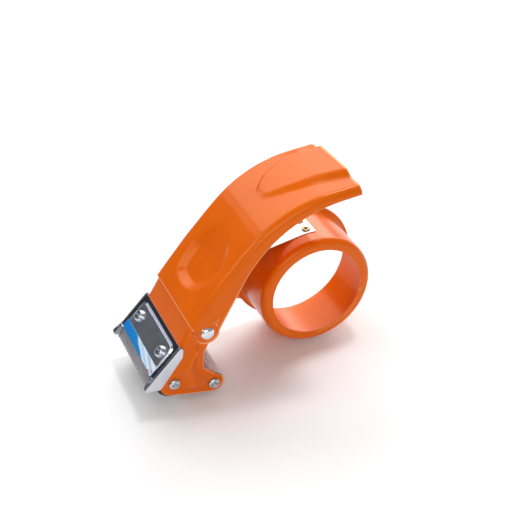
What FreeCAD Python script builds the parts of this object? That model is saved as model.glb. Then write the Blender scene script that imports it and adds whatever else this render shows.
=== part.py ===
import FreeCAD, Part
import Sketcher
import os
from math import atan2, cos, degrees, radians, sin, tan

# Hand-held carton-sealing tape dispenser in pressed sheet steel.
# Frame: +X from the cutting blade towards the tape hub, +Y towards the hub arm's side, +Z up.
# The origin lies on the resting plane, under the middle of the overall box. Millimetres.

os.makedirs("parts", exist_ok=True)
doc = FreeCAD.newDocument("TapeDispenser")
V = FreeCAD.Vector
X_AXIS, Y_AXIS, Z_AXIS = V(1, 0, 0), V(0, 1, 0), V(0, 0, 1)
NO_TURN = FreeCAD.Rotation()

# ---------------------------------------------------------------- driving dimensions

DIMENSIONS = {
    # tape hub: a drawn cup, open at the back, with a flared rim
    "hub_x": 40.6, "hub_z": 41.5, "hub_outer": 37.8, "hub_inner": 36.6, "hub_mouth": 30.5,
    "hub_rim": 41.5, "hub_front": -12.5, "hub_back": 26.6, "hub_sheet": 1.2,
    "hub_bead": 4.0, "hub_flare": 3.6, "hub_lip": 0.5,
    # arm that carries the hub on the back cheek
    "arm_sheet": 1.4, "arm_neck": 33.4, "arm_ring": 41.3, "arm_lobe": 7.2, "arm_bore": 40.0,
    # head frame: one bent sheet, a sloping top plate and two cheeks
    "head_half": 29.3, "head_sheet": 1.2, "head_bend": 2.6, "press_lobe": 9.1, "guide_lobe": 6.8,
    # handle: a pressed channel
    "handle_half": 30.6, "handle_sheet": 1.2, "handle_bend": 4.4, "crown_radius": 80.0,
    "slope_radius": 400.0,
    "skirt_radius": 80.0, "ear_lobe": 7.6, "tail_corner": 1.2, "cover_corner": 3.0,
    # ear rivets that join handle, head and arm
    "rivet_x": -40.5, "rivet_z": 48.9, "rivet_head": 4.5, "rivet_shank": 2.5,
    # press roller and guide roller
    "press_x": -63.0, "press_z": 17.2, "press_radius": 11.2, "core_radius": 7.5,
    "guide_x": -37.9, "guide_z": 8.9, "guide_radius": 7.1, "roller_half": 27.4,
    "sleeve_half": 27.0, "axle_radius": 3.0, "axle_running": 0.05, "rib_count": 18.0,
    # blade, cover and their screws
    "seat_slope": 45.0, "blade_sheet": 0.7, "blade_half": 26.5, "tooth_pitch": 2.65,
    "tooth_depth": 1.5, "cover_half": 30.7, "cover_sheet": 0.9, "label_sheet": 0.12,
    "cover_screw_y": 19.0, "cover_screw_x": -65.6,
    "screw_shank": 2.0, "screw_head": 3.8, "screw_head_height": 2.2, "nut_across": 7.0,
    # brake leaf on top of the hub
    "leaf_sheet": 0.6, "leaf_width": 18.0, "leaf_mid": 8.0, "leaf_root_angle": 15.2,
    "leaf_leave_angle": 9.4, "leaf_tongue": 38.0, "leaf_lift": 0.35, "eyelet_pitch": 10.0,
}

sheet = doc.addObject("Spreadsheet::Sheet", "Sizes")
for row_number, (alias, value) in enumerate(DIMENSIONS.items(), start=1):
    sheet.set(f"A{row_number}", alias)
    sheet.set(f"B{row_number}", str(value))
    sheet.setAlias(f"B{row_number}", alias)
doc.recompute()


def size(alias):
    """The value of one driving dimension."""
    return float(sheet.get(alias))


# ---------------------------------------------------------------- helpers

def new_body(label, place=V(0, 0, 0), turn=NO_TURN):
    body = doc.addObject("PartDesign::Body", label)
    body.Label = label
    body.Placement = FreeCAD.Placement(place, turn)
    return body


def new_sketch(body, role, name):
    """An empty sketch on one of the body's own origin planes."""
    plane = next(f for f in body.Origin.OriginFeatures if f.Role == role)
    drawing = body.newObject("Sketcher::SketchObject", name)
    drawing.AttachmentSupport = [(plane, "")]
    drawing.MapMode = "FlatFace"
    return drawing


def evaluate(text):
    """A number as it is, or the value that a sheet expression gives."""
    if not isinstance(text, str):
        return float(text)
    result = sheet.evalExpression(text)
    return float(getattr(result, "Value", result))


def pin_value(drawing, kind, refs, value):
    """A distance or radius constraint, bound to the sheet when its value is an expression."""
    index = drawing.addConstraint(Sketcher.Constraint(kind, *refs, evaluate(value)))
    if isinstance(value, str):
        drawing.setExpression(f"Constraints[{index}]", value)


def rounded_chain(points, closed):
    """Splits a chain of corners (x, y) or (x, y, radius) into lines and tangent arcs.
    Each piece is (start, end) or (start, end, middle, centre, radius)."""
    corners = []
    for number, point in enumerate(points):
        here = V(evaluate(point[0]), evaluate(point[1]), 0)
        if len(point) == 2:
            corners.append((here, here, None))
            continue
        before = points[number - 1]
        after = points[(number + 1) % len(points)]
        back = (V(evaluate(before[0]), evaluate(before[1]), 0) - here).normalize()
        ahead = (V(evaluate(after[0]), evaluate(after[1]), 0) - here).normalize()
        radius = evaluate(point[2])
        half = back.getAngle(ahead) / 2
        centre = here + (back + ahead).normalize() * (radius / sin(half))
        middle = centre + (here - centre).normalize() * radius
        reach = radius / tan(half)
        arc = (here + back * reach, here + ahead * reach, middle, centre, point[2])
        corners.append((arc[0], arc[1], arc))
    pieces = []
    last = len(corners) if closed else len(corners) - 1
    for number in range(len(corners)):
        if corners[number][2]:
            pieces.append(corners[number][2])
        if number < last:
            pieces.append((corners[number][1], corners[(number + 1) % len(corners)][0]))
    return pieces


def draw_outline(drawing, points):
    """A closed outline. Each corner is (x, y) or (x, y, radius), as numbers or expressions."""
    pieces = rounded_chain(points, closed=True)
    first = drawing.GeometryCount
    starts = []
    for piece in pieces:
        if len(piece) == 2:
            drawing.addGeometry(Part.LineSegment(piece[0], piece[1]))
            starts.append(1)
        else:
            arc = Part.Arc(piece[0], piece[2], piece[1])
            index = drawing.addGeometry(arc)
            pin_value(drawing, "Radius", (index,), piece[4])
            starts.append(1 if (drawing.getPoint(index, 1) - piece[0]).Length < 1e-6 else 2)
    plain = {(evaluate(p[0]), evaluate(p[1])): p for p in points if len(p) == 2}
    count = len(pieces)
    for i in range(count):
        following = (i + 1) % count
        drawing.addConstraint(Sketcher.Constraint(
            "Coincident", first + i, 3 - starts[i], first + following, starts[following]))
        start = pieces[i][0]
        bound = plain.get((start.x, start.y), (start.x, start.y))
        refs = (-1, 1, first + i, starts[i])
        pin_value(drawing, "DistanceX", refs, bound[0])
        pin_value(drawing, "DistanceY", refs, bound[1])


def draw_circle(drawing, centre, radius):
    """A circle whose centre and radius may be numbers or sheet expressions."""
    middle = V(evaluate(centre[0]), evaluate(centre[1]), 0)
    index = drawing.addGeometry(Part.Circle(middle, Z_AXIS, evaluate(radius)))
    pin_value(drawing, "DistanceX", (-1, 1, index, 3), centre[0])
    pin_value(drawing, "DistanceY", (-1, 1, index, 3), centre[1])
    pin_value(drawing, "Radius", (index,), radius)


def pad(body, drawing, name, length):
    """A pad centred on its sketch plane. The length is a sheet expression."""
    feature = body.newObject("PartDesign::Pad", name)
    feature.Profile = drawing
    feature.Midplane = True
    feature.setExpression("Length", length)
    doc.recompute()
    return feature


def pocket(body, drawing, name):
    """A cut right through the body, both ways from its sketch plane."""
    before = body.Shape.Volume
    feature = body.newObject("PartDesign::Pocket", name)
    feature.Profile = drawing
    feature.Type = "ThroughAll"
    feature.Midplane = True
    doc.recompute()
    if body.Shape.Volume > before - 1e-6:
        raise RuntimeError(f"{body.Label}: {name} cuts nothing")
    return feature


def fillet(body, name, radius, wanted):
    """Rounds every edge of the body's tip that the test accepts."""
    tip = body.Tip
    picked = [f"Edge{i}" for i, edge in enumerate(tip.Shape.Edges, start=1) if wanted(edge)]
    if not picked:
        raise RuntimeError(f"{body.Label}: no edge for {name}")
    feature = body.newObject("PartDesign::Fillet", name)
    feature.Base = (tip, picked)
    feature.setExpression("Radius", radius)
    doc.recompute()
    return feature


def revolve(body, drawing, name, angle=360.0):
    """A revolution about the sketch's own vertical axis."""
    feature = body.newObject("PartDesign::Revolution", name)
    feature.Profile = drawing
    feature.ReferenceAxis = (drawing, ["V_Axis"])
    feature.Angle = angle
    doc.recompute()
    return feature


def rim_at(radius, y, reach=0.02):
    """Accepts a full circle about Y with the given radius, at the given place along Y."""
    def test(edge):
        curve = edge.Curve
        return (isinstance(curve, Part.Circle) and abs(curve.Radius - radius) < reach
                and abs(curve.Center.y - y) < reach)
    return test


def on_side(half, above):
    """Accepts an edge of the face at Y = +half or -half that lies on the top profile."""
    def test(edge):
        middle = edge.valueAt((edge.FirstParameter + edge.LastParameter) / 2)
        places = [v.Point for v in edge.Vertexes] + [middle]
        return all(abs(abs(p.y) - half) < 0.01 and above(p.x, p.z) for p in places)
    return test


def compound(label, members):
    group = doc.addObject("Part::Compound", label)
    group.Label = label
    group.Links = members
    doc.recompute()
    return group


def cut(label, base, tool):
    result = doc.addObject("Part::Cut", label)
    result.Label = label
    result.Base = base
    result.Tool = tool
    doc.recompute()
    return result


def offset_point(point, slope_in, slope_out, distance):
    """Moves a profile's corner to the profile's lower side by the sheet thickness."""
    half_turn = radians((slope_in - slope_out) / 2)
    middle = radians((slope_in + slope_out) / 2)
    reach = distance / cos(half_turn)
    return (point[0] + reach * sin(middle), point[1] - reach * cos(middle))


def slope_of(start, end):
    return degrees(atan2(end[1] - start[1], end[0] - start[0]))


def inner_profile(points, distance, run_out):
    """The lower side of a bent sheet whose upper side is the given open profile.
    Both ends run on past the sheet, so that the cut leaves the ends open."""
    slopes = [slope_of(a, b) for a, b in zip(points, points[1:])]
    slopes_in = [slopes[0]] + slopes
    slopes_out = slopes + [slopes[-1]]
    moved = [offset_point(p, i, o, distance) for p, i, o in zip(points, slopes_in, slopes_out)]
    first, last = radians(slopes[0]), radians(slopes[-1])
    moved[0] = (moved[0][0] - run_out * cos(first), moved[0][1] - run_out * sin(first))
    moved[-1] = (moved[-1][0] + run_out * cos(last), moved[-1][1] + run_out * sin(last))
    radii = [evaluate(p[2]) - distance if len(p) > 2 else None for p in points]
    return [(*p, r) if r else p for p, r in zip(moved, radii)]


def on_profile(points, reach=0.1):
    """Tests whether a place lies on an open chain of lines and rounded corners."""
    pieces = rounded_chain(points, closed=False)

    def test(x, z):
        place = V(x, z, 0)
        for piece in pieces:
            start, end = piece[:2]
            along = (place - start).dot(end - start) / (end - start).Length
            if not -reach < along < (end - start).Length + reach:
                continue
            if len(piece) == 2 and place.distanceToLine(start, end - start) < reach:
                return True
            if len(piece) > 2 and abs((place - piece[3]).Length - evaluate(piece[4])) < reach:
                return True
        return False
    return test


# ---------------------------------------------------------------- handle

HANDLE_TOP = [(-50.9, 56.5), (-31.8, 79.7, "Sizes.slope_radius"),
              (10.4, 121.2, "Sizes.crown_radius"), (57.6, 124.1)]
SKIRT_CORNER = (4.4, 114.3, "Sizes.skirt_radius")
TAIL_LOW = (58.0, 118.4, "Sizes.tail_corner")
EAR_POINTS = [(-34.4, 46.2), (-40.0, 43.0), (-47.8, 50.2)]
RUN_OUT = 20.0
BELOW = -40.0


def make_handle():
    outer = new_body("handle_outer")
    drawing = new_sketch(outer, "XZ_Plane", "handle_side")
    draw_outline(drawing, HANDLE_TOP + [TAIL_LOW, SKIRT_CORNER] + EAR_POINTS)
    pad(outer, drawing, "handle_width", "2 * Sizes.handle_half")
    ear = new_sketch(outer, "XZ_Plane", "ear_lobe_side")
    draw_circle(ear, ("Sizes.rivet_x", "Sizes.rivet_z"), "Sizes.ear_lobe")
    pad(outer, ear, "ear_lobes", "2 * Sizes.handle_half")
    top_side = on_side(size("handle_half"), on_profile(HANDLE_TOP))
    fillet(outer, "long_bends", "Sizes.handle_bend", top_side)

    inner = new_body("handle_hollow")
    lower = inner_profile(HANDLE_TOP, size("handle_sheet"), RUN_OUT)
    drawing = new_sketch(inner, "XZ_Plane", "hollow_side")
    draw_outline(drawing, lower + [(lower[-1][0], BELOW), (lower[0][0], BELOW)])
    pad(inner, drawing, "hollow_width", "2 * (Sizes.handle_half - Sizes.handle_sheet)")
    hollow_side = on_side(size("handle_half") - size("handle_sheet"), on_profile(lower))
    fillet(inner, "hollow_bends", "Sizes.handle_bend - Sizes.handle_sheet", hollow_side)

    holes = doc.addObject("Part::Cylinder", "handle_rivet_hole")
    holes.setExpression("Radius", "Sizes.rivet_shank")
    holes.setExpression("Height", "4 * Sizes.handle_half")
    holes.Placement = FreeCAD.Placement(
        V(size("rivet_x"), 2 * size("handle_half"), size("rivet_z")), FreeCAD.Rotation(X_AXIS, 90))
    channel = cut("handle_channel", outer, inner)
    return cut("handle_shell", channel, holes)


# ---------------------------------------------------------------- head frame

SEAT_LINE = 100.1                     # the seat plane is Z = X + SEAT_LINE, at 45 degrees
HEAD_TOP = [(-75.0, -75.0 + SEAT_LINE), (-57.9, -57.9 + SEAT_LINE, "3 * Sizes.head_bend"),
            (-49.4, 55.6, "3 * Sizes.head_bend"), (-42.0, 63.3)]
CHEEK_BACK = [(-34.6, 50.0), (-43.7, 33.0, "5 * Sizes.head_bend"),
              (-43.7, 20.2, "3 * Sizes.head_bend"), (-33.2, 13.5)]
CHEEK_LOW = [(-39.44, 2.28), (-65.07, 8.34), (-72.0, 18.5)]


def seat_point(x, above=0.0):
    """A place over the blade seat: the X where it stands on the seat, and its height off it."""
    slope = radians(size("seat_slope"))
    return (x - above * sin(slope), x + SEAT_LINE + above * cos(slope))


def cross_cylinder(name, x, z, radius):
    """A cutting cylinder along Y through both cheeks."""
    tool = doc.addObject("Part::Cylinder", name)
    tool.setExpression("Radius", radius)
    tool.setExpression("Height", "4 * Sizes.head_half")
    tool.setExpression("Placement.Base.x", x)
    tool.setExpression("Placement.Base.z", z)
    tool.setExpression("Placement.Base.y", "2 * Sizes.head_half")
    tool.Placement.Rotation = FreeCAD.Rotation(X_AXIS, 90)
    return tool


def seat_cylinder(name, x, y, low, high, radius):
    """A cylinder square to the blade seat, from one height off it to another."""
    tool = doc.addObject("Part::Cylinder", name)
    tool.setExpression("Radius", radius)
    tool.Height = high - low
    base = seat_point(x, low)
    turn = FreeCAD.Rotation(Y_AXIS, -size("seat_slope"))
    tool.Placement = FreeCAD.Placement(V(base[0], y, base[1]), turn)
    return tool


def make_head():
    outer = new_body("head_outer")
    drawing = new_sketch(outer, "XZ_Plane", "cheek_side")
    guide = ("Sizes.guide_x", "Sizes.guide_z")
    draw_outline(drawing, HEAD_TOP + CHEEK_BACK + [guide] + CHEEK_LOW)
    pad(outer, drawing, "head_width", "2 * Sizes.head_half")
    lobes = new_sketch(outer, "XZ_Plane", "lobe_side")
    draw_circle(lobes, ("Sizes.press_x", "Sizes.press_z"), "Sizes.press_lobe")
    draw_circle(lobes, guide, "Sizes.guide_lobe")
    pad(outer, lobes, "roller_lobes", "2 * Sizes.head_half")
    fillet(outer, "head_bends", "Sizes.head_bend", on_side(size("head_half"), on_profile(HEAD_TOP)))

    inner = new_body("head_hollow")
    lower = inner_profile(HEAD_TOP, size("head_sheet"), RUN_OUT)
    drawing = new_sketch(inner, "XZ_Plane", "head_hollow_side")
    draw_outline(drawing, lower + [(lower[-1][0], BELOW), (lower[0][0], BELOW)])
    pad(inner, drawing, "head_hollow_width", "2 * (Sizes.head_half - Sizes.head_sheet)")

    tools = [
        cross_cylinder("press_screw_holes", "Sizes.press_x", "Sizes.press_z", "Sizes.screw_shank"),
        cross_cylinder("guide_screw_holes", "Sizes.guide_x", "Sizes.guide_z", "Sizes.screw_shank"),
        cross_cylinder("cheek_rivet_holes", "Sizes.rivet_x", "Sizes.rivet_z", "Sizes.rivet_shank"),
    ]
    for side in (-1, 1):
        tools.append(seat_cylinder(f"seat_hole_{side}", size("cover_screw_x"),
                                   side * size("cover_screw_y"), -5, 5, "Sizes.screw_shank"))
    channel = cut("head_channel", outer, inner)
    return cut("head_frame", channel, compound("head_holes", tools))


# ---------------------------------------------------------------- hub and its arm

def make_hub():
    body = new_body("hub_cup", V(size("hub_x"), 0, size("hub_z")))
    drawing = new_sketch(body, "XY_Plane", "hub_section")
    draw_outline(drawing, [
        ("Sizes.hub_mouth", "Sizes.hub_front"),
        ("Sizes.hub_outer", "Sizes.hub_front"),
        ("Sizes.hub_outer", "Sizes.hub_back - Sizes.hub_sheet"),
        ("Sizes.hub_rim", "Sizes.hub_back - Sizes.hub_sheet"),
        ("Sizes.hub_rim", "Sizes.hub_back"),
        ("Sizes.hub_inner", "Sizes.hub_back"),
        ("Sizes.hub_inner", "Sizes.hub_front + Sizes.hub_sheet"),
        ("Sizes.hub_mouth", "Sizes.hub_front + Sizes.hub_sheet"),
    ])
    revolve(body, drawing, "hub_turned")
    front, back, wall = size("hub_front"), size("hub_back"), size("hub_sheet")
    fillet(body, "bead", "Sizes.hub_bead", rim_at(size("hub_outer"), front))
    fillet(body, "lip", "Sizes.hub_lip", rim_at(size("hub_mouth"), front))
    fillet(body, "bead_inside", "Sizes.hub_bead - Sizes.hub_sheet", rim_at(size("hub_inner"), front + wall))
    fillet(body, "flare", "Sizes.hub_flare", rim_at(size("hub_outer"), back - wall))
    fillet(body, "flare_inside", "Sizes.hub_flare", rim_at(size("hub_inner"), back))
    return cut("tape_hub", body, compound("hub_holes", leaf_holes()))


def make_arm():
    """A flat plate: a ring behind the hub's rim and a tapering neck to the ear rivet."""
    middle = size("hub_back") + size("arm_sheet") / 2
    body = new_body("hub_arm", V(0, middle, 0))
    hub = V(size("hub_x"), size("hub_z"), 0)
    ear = V(size("rivet_x"), size("rivet_z"), 0)
    span = (ear - hub).Length
    toward = (ear - hub) / span
    lean = (size("arm_neck") - size("arm_lobe")) / span
    rise = (1 - lean ** 2) ** 0.5
    corners = []
    for centre, radius, side in ((hub, "arm_neck", 1), (ear, "arm_lobe", 1),
                                 (ear, "arm_lobe", -1), (hub, "arm_neck", -1)):
        normal = toward * lean + V(-toward.y, toward.x, 0) * (side * rise)
        point = centre + normal * size(radius)
        corners.append((point.x, point.y))
    neck = new_sketch(body, "XZ_Plane", "neck_side")
    draw_outline(neck, corners)
    pad(body, neck, "neck", "Sizes.arm_sheet")
    ends = new_sketch(body, "XZ_Plane", "end_discs")
    draw_circle(ends, ("Sizes.hub_x", "Sizes.hub_z"), "Sizes.arm_ring")
    draw_circle(ends, ("Sizes.rivet_x", "Sizes.rivet_z"), "Sizes.arm_lobe")
    pad(body, ends, "discs", "Sizes.arm_sheet")
    bores = new_sketch(body, "XZ_Plane", "bores_side")
    draw_circle(bores, ("Sizes.hub_x", "Sizes.hub_z"), "Sizes.arm_bore")
    draw_circle(bores, ("Sizes.rivet_x", "Sizes.rivet_z"), "Sizes.rivet_shank")
    pocket(body, bores, "bores")
    return body


def headed_pin(label, profile, place, turn):
    """A turned fastener. The profile is (radius, height) about its own axis."""
    body = new_body(label, place, turn)
    drawing = new_sketch(body, "XZ_Plane", f"{label}_section")
    draw_outline(drawing, profile)
    revolve(body, drawing, f"{label}_turned")
    return body


RIVET_RISE, RIVET_DOME = 2.0, 3.0
RIVET_TAIL, RIVET_TAIL_RISE = 4.0, 1.2


def make_ear_rivet(label, side, grip):
    """A domed rivet through ear, cheek and, at the back, the arm."""
    head = "Sizes.rivet_head"
    tail = -grip - RIVET_TAIL_RISE
    profile = [(0, RIVET_RISE), (f"{head} - 0.9", RIVET_RISE, RIVET_DOME), (head, 0),
               ("Sizes.rivet_shank", 0), ("Sizes.rivet_shank", -grip), (RIVET_TAIL, -grip),
               (RIVET_TAIL - 0.4, tail), (0, tail)]
    turn = FreeCAD.Rotation(X_AXIS, -90 * side)
    place = V(size("rivet_x"), side * size("handle_half"), size("rivet_z"))
    return headed_pin(label, profile, place, turn)


# ---------------------------------------------------------------- brake leaf

EYELET_ANGLE = 1.4                    # degrees from the hub's top towards the blade
EYELET_HOLE = 1.5
EYELET_BORE = 1.1
EYELET_FLANGE, EYELET_RISE = 2.8, 0.7


def hub_frame(angle, y):
    """A frame on the hub's outside: origin on its wall, Z pointing outwards."""
    turned = radians(angle)
    reach = size("hub_outer")
    place = V(size("hub_x") - reach * sin(turned), y, size("hub_z") + reach * cos(turned))
    return place, FreeCAD.Rotation(Y_AXIS, -angle)


def eyelet_places():
    half = size("eyelet_pitch") / 2
    return [size("leaf_mid") - half, size("leaf_mid") + half]


def leaf_holes():
    tools = []
    for y in eyelet_places():
        tool = doc.addObject("Part::Cylinder", "eyelet_hole")
        tool.Radius = EYELET_HOLE
        tool.Height = 8
        place, turn = hub_frame(EYELET_ANGLE, y)
        inward = turn.multVec(V(0, 0, -4))
        tool.Placement = FreeCAD.Placement(place + inward, turn)
        tools.append(tool)
    return tools


def make_leaf_root():
    """The clamped end of the leaf, curved to the hub."""
    turn = FreeCAD.Rotation(Y_AXIS, -(90 + size("leaf_leave_angle") - size("leaf_root_angle")))
    body = new_body("leaf_root_strip", V(size("hub_x"), 0, size("hub_z")), turn)
    drawing = new_sketch(body, "XY_Plane", "root_section")
    near, far = "Sizes.hub_outer + 0.02", "Sizes.hub_outer + 0.02 + Sizes.leaf_sheet"
    low, high = "Sizes.leaf_mid - Sizes.leaf_width / 2", "Sizes.leaf_mid + Sizes.leaf_width / 2"
    draw_outline(drawing, [(near, low), (far, low), (far, high), (near, high)])
    feature = revolve(body, drawing, "root_bent", size("leaf_root_angle"))
    feature.Reversed = True
    doc.recompute()
    return cut("brake_leaf_root", body, compound("root_holes", leaf_holes()))


def make_leaf_tongue():
    """The free end of the leaf, straight from where it leaves the hub."""
    place, turn = hub_frame(size("leaf_leave_angle"), size("leaf_mid"))
    lifted = place + turn.multVec(V(0, 0, size("leaf_sheet") / 2 + size("leaf_lift")))
    body = new_body("brake_leaf", lifted, turn)
    drawing = new_sketch(body, "XY_Plane", "tongue_outline")
    half = "Sizes.leaf_width / 2"
    draw_outline(drawing, [(-0.6, f"-{half}"), ("-0.6 - Sizes.leaf_tongue", f"-{half}"),
                           ("-0.6 - Sizes.leaf_tongue", half), (-0.6, half)])
    pad(body, drawing, "tongue", "Sizes.leaf_sheet")
    return body


def make_leaf_rivets():
    """Tubular eyelets that clamp the leaf to the hub's wall."""
    top = size("leaf_sheet") + 0.05
    inside = size("hub_sheet") + 0.1
    over, under = top + EYELET_RISE, -inside - EYELET_RISE
    profile = [(EYELET_BORE, over), (EYELET_FLANGE, over, 0.8 * EYELET_RISE), (EYELET_FLANGE, top),
               (EYELET_HOLE, top), (EYELET_HOLE, -inside), (EYELET_FLANGE, -inside),
               (EYELET_FLANGE, under, 0.8 * EYELET_RISE), (EYELET_BORE, under)]
    members = []
    for number, y in enumerate(eyelet_places(), start=1):
        place, turn = hub_frame(EYELET_ANGLE, y)
        members.append(headed_pin(f"leaf_eyelet_{number}", profile, place, turn))
    return compound("leaf_rivets", members)


# ---------------------------------------------------------------- rollers

def make_tube(label, x, z, outer, bore, half):
    """A plain tube along Y."""
    body = new_body(label, V(size(x), 0, size(z)))
    drawing = new_sketch(body, "XZ_Plane", f"{label}_rings")
    draw_circle(drawing, (0, 0), outer)
    if bore:
        draw_circle(drawing, (0, 0), bore)
    pad(body, drawing, f"{label}_length", f"2 * ({half})")
    return body


def make_guide_roller():
    """A moulded roller with grooves along its length."""
    body = make_tube("guide_roller", "guide_x", "guide_z", "Sizes.guide_radius",
                     "Sizes.axle_radius + Sizes.axle_running", "Sizes.roller_half")
    drawing = new_sketch(body, "XZ_Plane", "groove_side")
    outer = "Sizes.guide_radius"
    draw_outline(drawing, [(f"{outer} - 0.9", -0.45), (f"{outer} + 1", -0.6),
                           (f"{outer} + 1", 0.6), (f"{outer} - 0.9", 0.45)])
    groove = pocket(body, drawing, "groove")
    before = body.Shape.Volume
    pattern = body.newObject("PartDesign::PolarPattern", "grooves")
    pattern.Originals = [groove]
    pattern.Axis = (drawing, ["N_Axis"])
    pattern.Angle = 360
    pattern.Occurrences = int(size("rib_count"))
    body.Tip = pattern
    doc.recompute()
    if body.Shape.Volume > before - 1:
        raise RuntimeError("guide_roller: the grooves are missing")
    return body


def make_axle(label, x, z):
    """A rod between the cheeks, drilled and tapped at both ends for its screws."""
    half = "Sizes.head_half - Sizes.head_sheet"
    rod = make_tube(f"{label}_rod", x, z, "Sizes.axle_radius", None, half)
    ends = []
    for side in (-1, 1):
        tool = doc.addObject("Part::Cylinder", f"{label}_drilling")
        tool.setExpression("Radius", "Sizes.screw_shank")
        tool.Height = SCREW_LENGTH
        start = side * (size("head_half") + 0.5)
        tool.Placement = FreeCAD.Placement(V(size(x), start, size(z)), FreeCAD.Rotation(X_AXIS, 90 * side))
        ends.append(tool)
    return cut(label, rod, compound(f"{label}_drillings", ends))


# ---------------------------------------------------------------- screws and nuts

SCREW_LENGTH = 10.0
COVER_SCREW_LENGTH = 5.6
NUT_HEIGHT = 2.4
SCREW_DOME = 1.4
RECESS_ARM, RECESS_WIDTH, RECESS_DEPTH = 2.2, 0.9, 1.4


def pan_screw(label, place, turn, length):
    """A pan-head screw with a cross recess. Its own Z points out of the head."""
    height = "Sizes.screw_head_height"
    profile = [(0, height), ("Sizes.screw_head - 0.3", height, SCREW_DOME), ("Sizes.screw_head", 0),
               ("Sizes.screw_shank", 0), ("Sizes.screw_shank", -length), (0, -length)]
    body = headed_pin(f"{label}_blank", profile, place, turn)
    top = size("screw_head_height") - RECESS_DEPTH
    arms = []
    for name, (wide, deep) in {"long": (RECESS_ARM, RECESS_WIDTH / 2),
                               "cross": (RECESS_WIDTH / 2, RECESS_ARM)}.items():
        arm = doc.addObject("Part::Box", f"{label}_{name}")
        arm.Length, arm.Width, arm.Height = 2 * wide, 2 * deep, 2 * RECESS_DEPTH
        arm.Placement = FreeCAD.Placement(place + turn.multVec(V(-wide, -deep, top)), turn)
        arms.append(arm)
    recess = doc.addObject("Part::Fuse", f"{label}_recess")
    recess.Base, recess.Tool = arms
    return cut(label, body, recess)


def make_axle_screw(label, x, z, side):
    place = V(size(x), side * size("head_half"), size(z))
    return pan_screw(label, place, FreeCAD.Rotation(X_AXIS, -90 * side), SCREW_LENGTH - 0.8)


def cover_screw_frame(side, above):
    base = seat_point(size("cover_screw_x"), above)
    return V(base[0], side * size("cover_screw_y"), base[1]), FreeCAD.Rotation(Y_AXIS, -size("seat_slope"))


def cover_top():
    """Height of the cover's face off the seat."""
    return size("blade_sheet") + 0.03 + size("cover_sheet")


def make_cover_screws():
    members = []
    for side, name in ((-1, "front"), (1, "back")):
        place, turn = cover_screw_frame(side, cover_top())
        members.append(pan_screw(f"cover_screw_{name}", place, turn, COVER_SCREW_LENGTH))
    return compound("cover_screws", members)


def make_cover_nuts():
    """Hexagon nuts under the head's top plate."""
    members = []
    for side, name in ((-1, "front"), (1, "back")):
        place, turn = cover_screw_frame(side, -size("head_sheet") - NUT_HEIGHT / 2)
        body = new_body(f"cover_nut_{name}", place, turn)
        drawing = new_sketch(body, "XY_Plane", f"nut_outline_{name}")
        corner = size("nut_across") / 2 / cos(radians(30))
        draw_outline(drawing, [(corner * cos(radians(a)), corner * sin(radians(a)))
                               for a in range(0, 360, 60)])
        draw_circle(drawing, (0, 0), "Sizes.screw_shank")
        pad(body, drawing, f"nut_height_{name}", f"{NUT_HEIGHT}")
        members.append(body)
    return compound("cover_nuts", members)


# ---------------------------------------------------------------- blade, cover and label

BLADE_BEND_X = -75.3
BLADE_DROP = 8.0
BLADE_SLOPE = 55.5
BLADE_TOP_X = -60.5


def blade_line(above):
    """The blade's side profile at one height off the seat: upper end, bend and cutting edge."""
    top = seat_point(BLADE_TOP_X, above)
    bend = seat_point(BLADE_BEND_X + above * 0.1, above)
    tip = (bend[0] - BLADE_DROP * cos(radians(BLADE_SLOPE)), bend[1] - BLADE_DROP * sin(radians(BLADE_SLOPE)))
    return [top, bend, tip]


def make_blade():
    """A toothed strip, bent down where it leaves the cover."""
    body = new_body("blade_strip")
    drawing = new_sketch(body, "XZ_Plane", "blade_side")
    outer, inner = blade_line(size("blade_sheet")), blade_line(0.0)
    draw_outline(drawing, outer + inner[::-1])
    pad(body, drawing, "blade_width", "2 * Sizes.blade_half")
    teeth = new_sketch(body, "XY_Plane", "tooth_gap")
    tip_x = min(outer[-1][0], inner[-1][0])
    half = "Sizes.tooth_pitch / 2"
    start = "-Sizes.blade_half + Sizes.tooth_pitch"
    draw_outline(teeth, [(tip_x - 1, f"{start} - {half} * 1.5"), (tip_x + size("tooth_depth"), start),
                         (tip_x - 1, f"{start} + {half} * 1.5")])
    gap = pocket(body, teeth, "gap")
    pattern = body.newObject("PartDesign::LinearPattern", "gaps")
    pattern.Originals = [gap]
    pattern.Direction = (teeth, ["V_Axis"])
    count = int(round(2 * size("blade_half") / size("tooth_pitch"))) - 1
    pattern.Length = (count - 1) * size("tooth_pitch")
    pattern.Occurrences = count
    body.Tip = pattern
    doc.recompute()
    holes = [seat_cylinder(f"blade_hole_{side}", size("cover_screw_x"), side * size("cover_screw_y"),
                           -3, 3, "Sizes.screw_shank") for side in (-1, 1)]
    return cut("cutting_blade", body, compound("blade_holes", holes))


EAR_LOW_CORNER = (-72.2, 16.2, "Sizes.cover_corner")
EAR_TIP = (-81.6, 17.4, "0.6 * Sizes.cover_corner")
FACE_LOW_X = -75.7


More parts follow.
